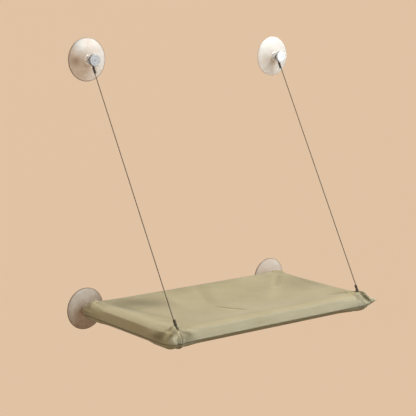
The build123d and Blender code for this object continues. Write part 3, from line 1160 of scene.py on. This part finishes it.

# %% [markdown]
# The four cups are the same soft clear vinyl, but each one shows the room
# differently, and this is painted into its colour: the upper right one is painted
# almost white and the lower left one gets painted shade for the shelf's shadow.
# Each cup keeps its own coordinates, measured from its axis in cup radii, so that
# the rim's painted line, the ribs of the neck, the rings left by the mould, the
# painted shadow and the painted light and shade across the cup follow the cup.

# %% Clear vinyl of the suction cups
CUP_RADIUS = 0.0425
# Each cup's shaded and lit tints are painted light and shade on one vinyl, set for the light that cup
# catches.
CUP_LOOKS = {
    "upper_left_cup": dict(
        shaded_tint=(0.72, 0.67, 0.63), lit_tint=(1.08, 1.04, 1.01), way=(1.4, 0.25), clearness=0.74,
        shade_place=(-0.66, -0.04), shade=(0.66, 0.58, 0.50), rim=(0.36, 0.29, 0.25),
    ),
    "upper_right_cup": dict(
        shaded_tint=(1.0, 0.965, 0.94), lit_tint=(1.12, 1.08, 1.05), way=(0.4, 0.3), clearness=0.52,
        shade_place=(-0.55, -0.10), shade=(0.90, 0.87, 0.84), rim=(0.86, 0.79, 0.75),
    ),
    "lower_left_cup": dict(
        shaded_tint=(0.34, 0.26, 0.21), lit_tint=(0.70, 0.625, 0.55), way=(-0.3, 0.9), clearness=0.64,
        shade_place=(-0.40, -0.05), shade=(0.84, 0.79, 0.74), rim=(0.36, 0.29, 0.25),
    ),
    "lower_right_cup": dict(
        shaded_tint=(0.67, 0.575, 0.505), lit_tint=(0.92, 0.84, 0.775), way=(0.5, 0.5), clearness=0.60,
        shade_place=(-0.50, 0.20), shade=(0.92, 0.89, 0.86), rim=(0.46, 0.39, 0.35),
    ),
}


def keep_cup_places(solid):
    """Stores each point's place from the cup's axis, in cup radii."""
    low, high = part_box(solid.name)
    axis = Vector(((low.x + high.x) / 2, 0, (low.z + high.z) / 2))
    store = solid.data.attributes.new("from_axis", "FLOAT_VECTOR", "POINT")
    for slot, vertex in zip(store.data, solid.data.vertices):
        slot.vector = (solid.matrix_world @ vertex.co - axis) / CUP_RADIUS


def read_cup_places(tree):
    """The stored place, the same without its depth, and its distance from the axis."""
    place = add_node(tree, "Attribute", out="Vector", attribute_name="from_axis")
    flat = vector_maths(tree, "MULTIPLY", place, (1, 0, 1))
    return place, flat, vector_maths(tree, "LENGTH", flat, out="Value")


def vinyl_material(name, shaded_tint, lit_tint, way, clearness, shade_place, shade, rim):
    """Soft clear vinyl: painted light that runs from shaded to lit one way across the
    cup, a painted soft brown shadow at one place of it, a ribbed neck painted
    brighter than white and a painted line at the rim."""
    material, tree = new_material(name)
    place, flat, radius = read_cup_places(tree)
    across = vector_maths(tree, "DOT_PRODUCT", place, (way[0], 0, way[1]), out="Value")
    streaks = noise(tree, place, 3.2, 4.0, 0.62, 1.4)
    tone = spread(tree, maths(tree, "MULTIPLY_ADD", streaks, 2.8, across), 0, 1, 0.4, 2.4)
    # Painted light: the tint runs from shaded to lit one way across the cup.
    colour = mix_colours(tree, shaded_tint, lit_tint, tone)
    # The neck's ribs are its own; their brightness above white is painted light that lifts the knob's
    # shadow.
    depth = add_node(tree, "SeparateXYZ", {0: place}, "Y")
    lit_ribs = maths(tree, "SINE", maths(tree, "MULTIPLY", depth, 130.0))
    lit_ribs = spread(tree, lit_ribs, 0.95, 1.45, -1.0, 1.0)
    is_neck = spread(tree, radius, 0.85, 0.0, 0.21, 0.25)
    colour = mix_colours(tree, colour, lit_ribs, is_neck)
    # The line at the rim is painted, standing for the refraction at the lip.
    marks = colour_steps(
        tree, radius,
        (0.0, WHITE), (0.22, WHITE), (0.26, (0.86, 0.83, 0.80)),
        (0.42, WHITE), (0.955, WHITE), (0.985, rim),
    )
    colour = mix_colours(tree, colour, marks, 1.0, "MULTIPLY")
    # Painted shadow of the head and neck: a soft brown spot at the shade's place.
    away = vector_maths(tree, "DISTANCE", flat, (shade_place[0], 0, shade_place[1]), out="Value")
    fade = spread(tree, away, 0, 1, 0.0, 0.42, "SMOOTHSTEP")
    colour = mix_colours(tree, colour, mix_colours(tree, shade, WHITE, fade), 1.0, "MULTIPLY")
    rings = maths(tree, "SINE", maths(tree, "MULTIPLY", radius, 55.0))
    clear = spread(tree, tone, min(clearness + 0.12, 1), clearness - 0.22)
    set_shader(tree, {
        "Base Color": colour,
        "IOR": 1.45,
        "Coat Weight": 0.35,
        "Coat Roughness": 0.14,
        "Transmission Weight": clear,
        "Roughness": spread(tree, streaks, 0.22, 0.42),
        "Normal": bumps(tree, maths(tree, "MULTIPLY_ADD", rings, 0.10, streaks), 0.15, 0.0006),
    })
    return material


finishes = {name: vinyl_material(name + "_vinyl", **look) for name, look in CUP_LOOKS.items()}
print("vinyl of", *finishes)

# %% [markdown]
# A knob is a small moulding of hard clear plastic. As plain glass it would show
# little but the stud behind it, so the plastic is made milky: a haze lightens it
# inside, and its skin is painted darker where it is seen at a slant. The haze runs
# above white as painted light, most on the right knob. The rings of its face are
# drawn by their distance from the screw, like the cups' marks, with a grey middle
# painted where the stud shows through.

# %% Clear plastic of the knobs
# The right knob's brighter haze and lower clearness are painted light on the same plastic.
KNOB_LOOKS = {"left_knob": (0.88, 1.14, 0.35, 1.0), "right_knob": (1.18, 1.44, 0.05, 0.75)}


def knob_material(name, milk_and_light_low, milk_and_light_high, clearness, marked):
    """Hard clear plastic, milky inside, painted darker at a slant, with its haze raised
    as painted light. The rings of its face show fully where marked is 1."""
    material, tree = new_material(name)
    haze = noise(tree, add_node(tree, "TexCoord", out="Object"), 120.0, 3.0, distortion=0.8)
    # Painted shade: the skin darkens where it is seen at a slant.
    facing = add_node(tree, "LayerWeight", {"Blend": 0.35}, "Facing")
    skin_and_slant_shade = colour_steps(
        tree, facing,
        (0.0, (0.88, 0.88, 0.90)), (0.55, (0.78, 0.78, 0.81)), (0.9, (0.36, 0.35, 0.36)),
    )
    # Haze above 1 is painted light, brightening the knob beyond its plastic.
    milk_and_light = spread(tree, haze, milk_and_light_low, milk_and_light_high, 0.3, 0.7)
    milky_and_lit = add_node(tree, "VectorMath", {0: skin_and_slant_shade, "Scale": milk_and_light}, operation="SCALE")
    # The grey middle is a painted see-through of the stud; the other rings and the dark edge ring are
    # drawn by radius.
    radius = read_cup_places(tree)[-1]
    rings = colour_steps(
        tree, radius,
        (0.0, (0.72, 0.71, 0.74)), (0.07, (0.80, 0.80, 0.83)), (0.09, WHITE),
        (0.15, (0.98, 0.98, 1)), (0.175, (0.62, 0.61, 0.64)), (0.20, WHITE),
        (0.245, (0.95, 0.95, 0.96)), (0.275, (0.42, 0.41, 0.43)),
    )
    set_shader(tree, {
        "Base Color": vector_maths(tree, "MULTIPLY", milky_and_lit, mix_colours(tree, WHITE, rings, marked)),
        "IOR": 1.49,
        "Transmission Weight": clearness,
        "Roughness": spread(tree, haze, 0.06, 0.20),
    })
    return material


finishes.update((name, knob_material(name + "_plastic", *look)) for name, look in KNOB_LOOKS.items())
for name in finishes:
    keep_cup_places(frame["nodes"][name])
print("places from the axis kept on", len(finishes), "pieces")

# %% [markdown]
# The screws, washers and nuts are plated steel, and the crimps are a dark dull
# metal. One function makes both. A perfectly even gloss looks drawn, so a fine
# noise varies the gloss and the colour a little, as handling does.

# %% Metal of the screws, washers, nuts and crimps
def metal_material(name, colour, low, high, scale):
    """Metal whose gloss varies with fine handling marks."""
    material, tree = new_material(name)
    marks = noise(tree, add_node(tree, "TexCoord", out="Object"), scale, 4.0)
    dark = tuple(channel * 0.82 for channel in colour)
    set_shader(tree, {
        "Base Color": colour_steps(tree, marks, (0.3, dark), (0.7, colour)),
        "Metallic": 1.0,
        "Roughness": spread(tree, marks, low, high),
        "Normal": bumps(tree, marks, 0.12, 0.0004),
    })
    return material


zinc_plate = metal_material("zinc_plate", (0.62, 0.62, 0.61), 0.18, 0.34, 160.0)
dark_crimp = metal_material("dark_crimp", (0.060, 0.047, 0.036), 0.46, 0.62, 240.0)
print("metals", zinc_plate.name, "and", dark_crimp.name)

# %% [markdown]
# A wire rope is many thin wires laid round each other. Modelling every wire would
# take very many faces for a rope that is 1.8 mm thick, so its skin stays a plain
# tube, and the wires are slanted bands on its UV map, with a little bump.

# %% Twisted wire of the ropes
def rope_material():
    """Fine twisted wires, drawn along the rope's own UV map."""
    material, tree = new_material("twisted_wire")
    along = add_node(tree, "UVMap", uv_map="along")
    lay = add_node(tree, "Mapping", {"Vector": along, "Scale": (7.0, 1.0, 1.0)})
    twist = waves(tree, lay, "DIAGONAL", 0.5)
    tint = colour_steps(
        tree, twist,
        (0.0, (0.070, 0.054, 0.041)), (0.6, (0.100, 0.081, 0.064)), (1.0, (0.135, 0.112, 0.090)),
    )
    set_shader(tree, {
        "Base Color": tint,
        "Metallic": 0.85,
        "Roughness": 0.42,
        "Normal": bumps(tree, twist, 0.25, 0.0002),
    })
    return material


twisted_wire = rope_material()
print("rope in", twisted_wire.name)

# %% [markdown]
# The frame is plain white plastic pipe in moulded fittings. The case hides nearly
# all of it, so a soft tint with faint scuffs is enough for it.

# %% White plastic of the frame
def pipe_material():
    """Moulded white plastic, with faint scuffs."""
    material, tree = new_material("frame_plastic")
    scuffs = noise(tree, add_node(tree, "TexCoord", out="Object"), 30.0, 5.0)
    tint = colour_steps(tree, scuffs, (0.35, (0.76, 0.745, 0.70)), (0.65, (0.84, 0.83, 0.80)))
    set_shader(tree, {"Base Color": tint, "Roughness": spread(tree, scuffs, 0.32, 0.5)})
    return material


frame_plastic = pipe_material()
print("frame in", frame_plastic.name)

# %% [markdown]
# The case closes along its rear edge with hook and loop tape. The hooks are far
# too fine to model, so a matt colour with a fuzzy bump stands for them.

# %% Hook and loop tape
def tape_material():
    """Matt fuzzy tape in a darker green."""
    material, tree = new_material("closure_tape")
    fuzz = noise(tree, add_node(tree, "TexCoord", out="Object"), 900.0, 2.0)
    tint = colour_steps(tree, fuzz, (0.3, (0.10, 0.10, 0.06)), (0.7, (0.20, 0.19, 0.12)))
    set_shader(tree, {"Base Color": tint, "Roughness": 0.95, "Normal": bumps(tree, fuzz, 0.6, 0.0006)})
    return material


closure_tape = tape_material()
print("tape in", closure_tape.name)

# %% [markdown]
# The canvas is a plain weave, drawn in the flat places of the panels, with slubs
# and a faint mottling of its dye. Over that come the painted shade and light of
# the folds, painted shade in the groove along the seam with a row of stitches
# beside it, and painted cool light on the front edge and painted warm shade on
# the underside.

# %% Canvas of the cover
STITCH_SHARES = (0.245, 0.26, 0.31, 0.325)


def canvas_material(name, uv_name):
    """Sage green plain weave, with slubs, faint mottling and a soft sheen."""
    material, tree = new_material(name)
    flat = add_node(tree, "UVMap", uv_map=uv_name)
    threads = [waves(tree, flat, way, 430.0, 1.2) for way in "XY"]
    weave = maths(tree, "MULTIPLY", *threads)
    stretched = add_node(tree, "Mapping", {"Vector": flat, "Scale": (0.25, 3.0, 1.0)})
    slubs = noise(tree, stretched, 60.0, 4.0, 0.65)
    colour = colour_steps(
        tree, noise(tree, flat, 7.0, 5.0, 0.6),
        (0.30, (0.574, 0.468, 0.255)), (0.50, (0.632, 0.522, 0.301)), (0.72, (0.683, 0.574, 0.348)),
    )
    colour = mix_colours(tree, colour, spread(tree, slubs, 0.72, 1.08, 0.3, 0.7), 0.30, "MULTIPLY")
    colour = mix_colours(tree, colour, weave, 0.16, "MULTIPLY")
    # Painted shade in the folds' valleys and painted light on their ridges.
    fold = add_node(tree, "Attribute", out="Fac", attribute_name="fold")
    fold_light_and_shade = colour_steps(
        tree, spread(tree, fold, 0, 1, -1.0, 1.0),
        (0.0, (0.32, 0.295, 0.215)), (0.5, (0.86, 0.86, 0.86)), (1.0, (1.16, 1.16, 1.14)),
    )
    colour = vector_maths(tree, "MULTIPLY", colour, fold_light_and_shade)
    to_seam = add_node(tree, "Attribute", out="Fac", attribute_name="to_seam")
    beside_seam = spread(tree, to_seam, 0, 1, 0.0, 0.01)
    # Painted shade: darker in the groove along the seam and in a dip beside the stitches.
    seam_shade = colour_steps(
        tree, beside_seam,
        (0.0, (0.42, 0.40, 0.38)), (0.06, (0.50, 0.48, 0.46)), (0.16, WHITE),
        (0.22, (0.86, 0.86, 0.85)), (0.36, WHITE),
    )
    colour = vector_maths(tree, "MULTIPLY", colour, seam_shade)
    edges = zip(STITCH_SHARES, (BLACK, WHITE, WHITE, BLACK))
    row = colour_steps(tree, beside_seam, (0.0, BLACK), *edges)
    dashes = maths(tree, "GREATER_THAN", waves(tree, flat, "DIAGONAL", 120.0), 0.22)
    stitch = maths(tree, "MULTIPLY", row, dashes)
    colour = mix_colours(tree, colour, (0.52, 0.47, 0.31), stitch)
    # Painted light: a cool tint on the front edge and a warm tint of shade on the underside.
    for label, light_tint in (("front", (0.937, 0.975, 1.135)), ("under", (1.0, 0.985, 0.860))):
        share = add_node(tree, "Attribute", out="Fac", attribute_name=label)
        colour = mix_colours(tree, colour, light_tint, share, "MULTIPLY")
    set_shader(tree, {
        "Base Color": colour,
        "Roughness": 0.88,
        "Sheen Weight": 0.25,
        "Sheen Roughness": 0.5,
        "Specular IOR Level": 0.25,
        "Normal": bumps(tree, maths(tree, "MULTIPLY_ADD", stitch, 1.5, weave), 0.32, 0.00028),
    })
    return material


sage_canvas = canvas_material("sage_canvas", "cut")
print("case in", sage_canvas.name)

# %% [markdown]
# Each solid takes the material of its slot. The cups and the knobs differ from
# each other, so each of them gets a material of its own.

# %% Give every solid its material
SLOT_MATERIALS = {
    "plated_steel": zinc_plate,
    "wire_rope": twisted_wire,
    "crimp": dark_crimp,
    "frame_plastic": frame_plastic,
    "closure_tape": closure_tape,
}

for entry in frame["record"]["subparts"]:
    name = entry["node"]
    finish = finishes.get(name) or SLOT_MATERIALS.get(entry["material_slot"])
    if finish:
        frame["nodes"][name].data.materials.clear()
        frame["nodes"][name].data.materials.append(finish)
for rope in ropes.values():
    rope.data.materials.append(twisted_wire)
cover.data.materials.append(sage_canvas)
print("materials", len(bpy.data.materials))

# %% [markdown]
# The neck of a lower cup is pushed into the frame's fitting and turns with it when
# the shelf is lifted, while the cup's lip stays on the glass. These two cups are
# copied here, and the solid cups are hidden.

# %% Copy the lower cups
for name in ("lower_left_cup", "lower_right_cup"):
    cup = bpy.data.objects.new(name + "_bending", frame["nodes"][name].data.copy())
    bpy.context.collection.objects.link(cup)
    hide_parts(name)
    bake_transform(cup)
    print(cup.name, "has", len(cup.data.vertices), "points")
